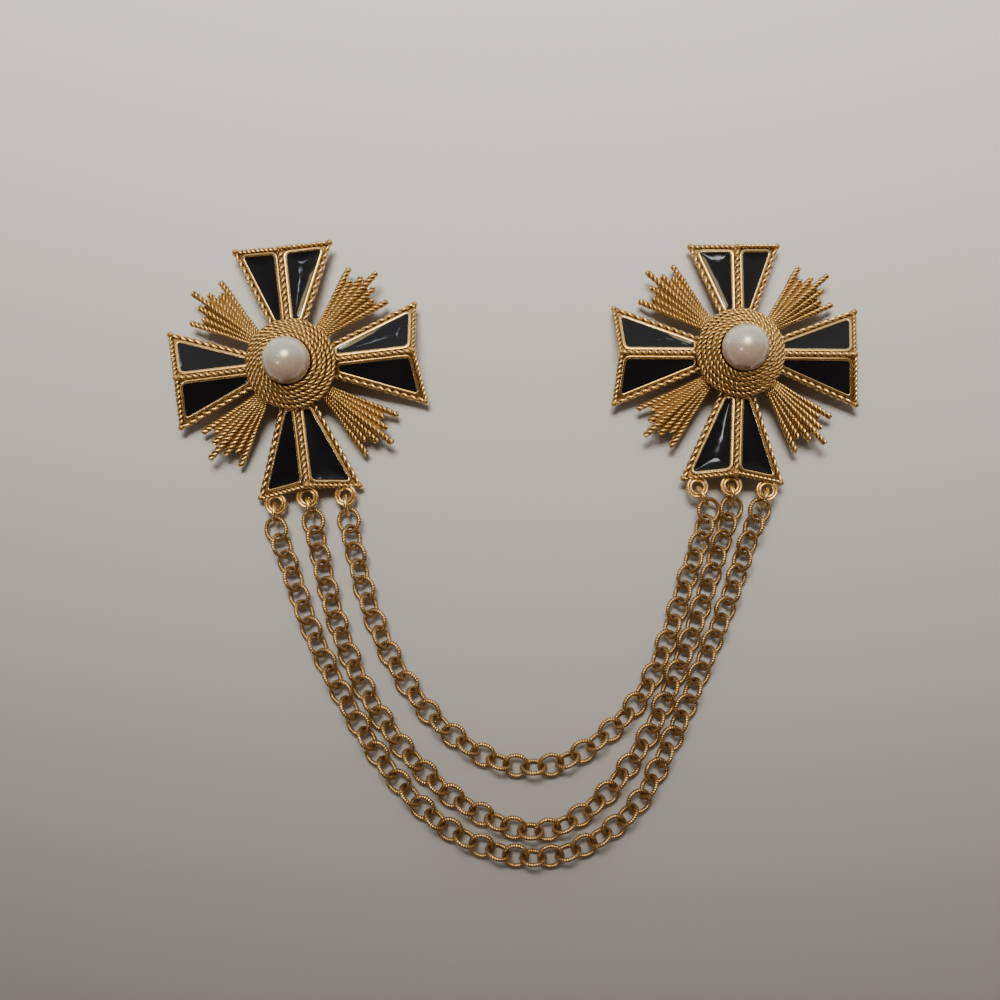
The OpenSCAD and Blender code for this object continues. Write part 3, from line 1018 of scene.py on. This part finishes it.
def makeBoss(side):
    form = startForm()
    addLathe(form, coneOutline())
    cone = meshFrom(side + "_boss_cone", form, rayGold)
    settle(cone, crossMatrix(side))
    finishPiece(cone, side + "_boss")
    ropes = makeRopes(side + "_boss_ropes", [ringPath(k) for k in range(bossLook["rings"])],
                      rayGold, strands=bossLook["strands"],
                      pointsPerStrand=bossLook["pointsPerStrand"], pitch=bossLook["pitch"],
                      strandShare=bossLook["strandShare"])
    settle(ropes, crossMatrix(side))
    finishPiece(ropes, None)


def makePearlBall(side):
    lastR, lastZ = ringPlace(bossLook["rings"] - 1)
    radius = pearlLook["pearlD"] / 2
    # it rests on the highest ring, but for the gap
    reach = radius + pearlLook["gap"] + bossLook["wireD"] / 2
    height = lastZ + math.sqrt(reach ** 2 - lastR ** 2)
    form = startForm()
    layer = form.verts.layers.float["crest"]
    # the crest marks the lower side for the painted pinkish reflection
    for vert in addBall(form, (0, 0, height), radius, steps=pearlLook["steps"]):
        up = vert.co.y / radius - pearlLook["pinkBelow"]
        vert[layer] = min(1.0, max(0.0, 0.5 + up / pearlLook["pinkSoft"]))
    ball = meshFrom(side + "_pearl_ball", form, pearlLustre)
    settle(ball, crossMatrix(side))
    finishPiece(ball, side + "_pearl")


for side in sides:
    makeBoss(side)
    makePearlBall(side)
print("bosses and pearls made")


# Chain and jump rings, each set where the frame has its ring

def ringsOf(node):
    # the middle, in millimetres, and the axis of every ring in a CAD node
    form = bmesh.new()
    form.from_mesh(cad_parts[node].data)
    bmesh.ops.remove_doubles(form, verts=form.verts, dist=mergeWithin * mm)
    found, seen = [], set()
    for start in form.verts:
        if start in seen:
            continue
        seen.add(start)
        island, queue = [], [start]
        while queue:
            vert = queue.pop()
            island.append(vert.co)
            for edge in vert.link_edges:
                other = edge.other_vert(vert)
                if other not in seen:
                    seen.add(other)
                    queue.append(other)
        middle = sum(island, Vector()) / len(island)
        far = max(island, key=lambda p: (p - middle).length) - middle
        across = max(island, key=lambda p: (p - middle).cross(far).length) - middle
        found.append((middle / mm, far.cross(across).normalized()))
    form.free()
    return found


def makeRings(name, node):
    rings = ringsOf(node)
    mesh = bpy.data.meshes.new(name)
    mesh.from_pydata([tuple(middle) for middle, axis in rings], [], [])
    mesh.attributes.new("axis", "FLOAT_VECTOR", "POINT").data.foreach_set(
        "vector", [value for middle, axis in rings for value in axis])
    piece = newPiece(name, mesh)
    runTree(piece, ringTree, {
        "Ring radius": chainLook["ringRadius"], "Wire radius": chainLook["wireRadius"],
        "Grooves": chainLook["grooves"], "Groove depth": chainLook["grooveDepth"],
        "Wire sides": chainLook["wireSides"], "Material": chainGold})
    settle(piece, Matrix.Scale(mm, 4))
    finishPiece(piece, node)
    print(f"{name}: {len(rings)} rings")


for strand in ("inner", "middle", "outer"):
    makeRings(f"{strand}_strand_rings", f"chain_{strand}")

jumpLook = {"reach": 2.0, "wireRadius": 0.385, "crest": 0.9, "steps": 56, "wireSides": 14}


def makeJumpRing(side, k):
    node = f"{side}_jump_ring_{k}"
    (middle, axis), = ringsOf(node)
    form = startForm()
    addRing(form, (0, 0, 0), jumpLook["reach"], jumpLook["wireRadius"], jumpLook["crest"],
            jumpLook["steps"], jumpLook["wireSides"])
    piece = meshFrom(f"{side}_jump_ring_wire_{k}", form, chainGold)
    turn = axis.to_track_quat("Z", "Y").to_matrix().to_4x4()
    settle(piece, Matrix.Scale(mm, 4) @ Matrix.Translation(middle) @ turn)
    finishPiece(piece, node)


for side in sides:
    for k in (1, 2, 3):
        makeJumpRing(side, k)
print("jump rings made")


# Pins keep their CAD shape

for side in sides:
    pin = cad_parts[side + "_pin"]
    pin.data.materials.clear()
    pin.data.materials.append(pinGold)
print("pins dressed")


# Floor and light

floorLook = {"colour": (0.41, 0.385, 0.35, 1), "roughness": 0.7,
             "reach": 1.5, "drop": 0.02}  # metres each way, and millimetres below the brooch
roomLook = {
    "darkSide": (0.10, 0.078, 0.062, 1),  # the room towards -Y
    "lightSide": (0.62, 0.63, 0.64, 1),
    "turnsLight": (0.05, 0.45),           # how far towards +Y it turns light
    "strength": 0.9,
}
# name, place and aim in metres, size, watts, colour, spread in degrees, what it lights
areaLights = (
    ("keyLamp", (-0.04, 0.30, 0.55), (0.01, 0.5, 0), 0.28, 8.8,
     (1.0, 0.98, 0.94), 114.5, "matt"),
    ("ceilingLamp", (0.01, 0.44, 0.86), (0, 0.03, 0), 0.14, 2.0,
     (0.30, 0.80, 1.0), 180, "gloss"),
    ("ceilingGlow", (0.0, 0.43, 0.90), (0, 0.03, 0), 0.60, 7.4,
     (1.0, 0.73, 0.35), 180, "gloss"),
    ("leftWindow", (-0.50, -0.28, 0.80), (0, 0.02, 0), 0.12, 0.8,
     (0.95, 0.97, 1.0), 180, "gloss"),
    ("sideWindow", (-0.39, 0.194, 0.715), (0.04, 0.016, 0), 0.06, 0.13,
     (0.95, 0.97, 1.0), 180, "gloss"),
    ("backWindow", (-0.192, 0.678, 0.546), (-0.027, 0.042, 0), 0.024, 0.02,
     (0.75, 0.88, 1.0), 180, "gloss"),
    ("farWindow", (0.149, 0.666, 0.571), (0.029, 0.043, 0), 0.03, 0.03,
     (0.75, 0.88, 1.0), 180, "gloss"),
    ("rightWindow", (0.349, 0.249, 0.651), (-0.043, 0.051, 0), 0.03, 0.035,
     (0.72, 0.86, 1.0), 180, "gloss"),
)


def makeFloor():
    form = bmesh.new()
    bmesh.ops.create_grid(form, x_segments=1, y_segments=1, size=floorLook["reach"])
    mesh = bpy.data.meshes.new("floor")
    form.to_mesh(mesh)
    form.free()
    mesh.transform(Matrix.Translation((0, 0, -floorLook["drop"] * mm)))
    floor = newPiece("floor", mesh)
    material, tree, shader = newMaterial("paleSurface")
    feed(tree, shader, {"Base Color": floorLook["colour"], "Roughness": floorLook["roughness"]})
    mesh.materials.append(material)


def makeLights():
    for name, place, aim, size, watts, colour, spreadAngle, lights in areaLights:
        data = bpy.data.lights.new(name, "AREA")
        data.shape = "DISK"
        data.size = size
        data.energy = watts
        data.color = colour
        data.spread = math.radians(spreadAngle)
        light = bpy.data.objects.new(name, data)
        scene.collection.objects.link(light)
        light.visible_glossy = lights == "gloss"
        light.visible_diffuse = lights == "matt"
        light.location = place
        light.rotation_euler = (Vector(aim) - Vector(place)).to_track_quat("-Z", "Y").to_euler()


def makeRoom():
    world = bpy.data.worlds.new("room")
    world.use_nodes = True
    tree = world.node_tree
    towards = put(tree, "ShaderNodeTexCoord").outputs["Generated"]
    y = put(tree, "ShaderNodeSeparateXYZ", {"Vector": towards}).outputs["Y"]
    share = remap(tree, y, *roomLook["turnsLight"], 0.0, 1.0)
    feed(tree, tree.nodes["Background"], {
        "Color": mixColours(tree, share, roomLook["darkSide"], roomLook["lightSide"]),
        "Strength": roomLook["strength"]})
    scene.world = world


makeFloor()
makeLights()
makeRoom()
print("floor and light made")
